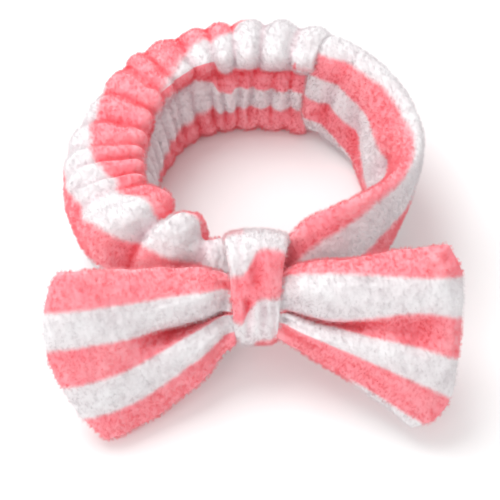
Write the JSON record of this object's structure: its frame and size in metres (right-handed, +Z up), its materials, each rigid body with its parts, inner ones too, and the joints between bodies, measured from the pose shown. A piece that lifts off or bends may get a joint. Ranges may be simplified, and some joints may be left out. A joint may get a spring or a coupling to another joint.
{
  "type": "spa headband",
  "caption": "Stretchy plush fleece headband with a gathered elastic back and a large padded bow held by a knot wrap.",
  "frame": {"origin": "middle of the relaxed head opening, on the plane that the band rests on", "axes": "+Z up, the axis that the head goes through; +X to the right as the bow is seen from in front; the bow faces -Y"},
  "size_m": [0.2055, 0.2336, 0.0775],
  "materials": {
    "striped_fleece": "coral fleece with a short plush pile, in broad pink and white stripes",
    "woven_elastic": "flat woven elastic, white",
    "sewing_thread": "spun polyester sewing thread, off-white",
    "wadding": "loose polyester wadding, white"
  },
  "bodies": {
    "band_front": {"smooth_cover_front": "striped_fleece", "gathered_cover_front": "striped_fleece", "elastic_tack_front": "sewing_thread", "knot_seam_thread": "sewing_thread", "tube_seam_thread_front": "sewing_thread", "knot_wrap": "striped_fleece", "knot_wrap_stitches": "sewing_thread", "bow_waist": "striped_fleece", "waist_binding_thread": "sewing_thread"},
    "band_rear": {"smooth_cover_rear": "striped_fleece", "gathered_cover_rear": "striped_fleece", "elastic_strip": "woven_elastic", "elastic_tack_rear": "sewing_thread", "cross_seam_thread": "sewing_thread", "tube_seam_thread_rear": "sewing_thread"},
    "bow_left": {"bow_left_front_panel": "striped_fleece", "bow_left_back_panel": "striped_fleece", "bow_left_wadding": "wadding", "bow_left_edge_thread": "sewing_thread"},
    "bow_right": {"bow_right_front_panel": "striped_fleece", "bow_right_back_panel": "striped_fleece", "bow_right_wadding": "wadding", "bow_right_edge_thread": "sewing_thread"}
  },
  "joints": [
    {"name": "rear_stretch", "type": "slide", "parent": "band_front", "child": "band_rear", "axis": [0, 1, 0], "range_m": [0, 0.075], "stiffness_N_per_m": 80, "deforming": ["elastic_strip"]},
    {"name": "bow_left_flex", "type": "hinge", "parent": "band_front", "child": "bow_left", "pos_m": [-0.0105, -0.08006, 0.03479], "axis": [0, 0.7193, 0.6947], "range_deg": [-5, 35], "stiffness_Nm_per_rad": 0.02},
    {"name": "bow_right_flex", "type": "hinge", "parent": "band_front", "child": "bow_right", "pos_m": [0.0225, -0.08006, 0.03479], "axis": [0, -0.7193, -0.6947], "range_deg": [-5, 35], "stiffness_Nm_per_rad": 0.02}
  ]
}
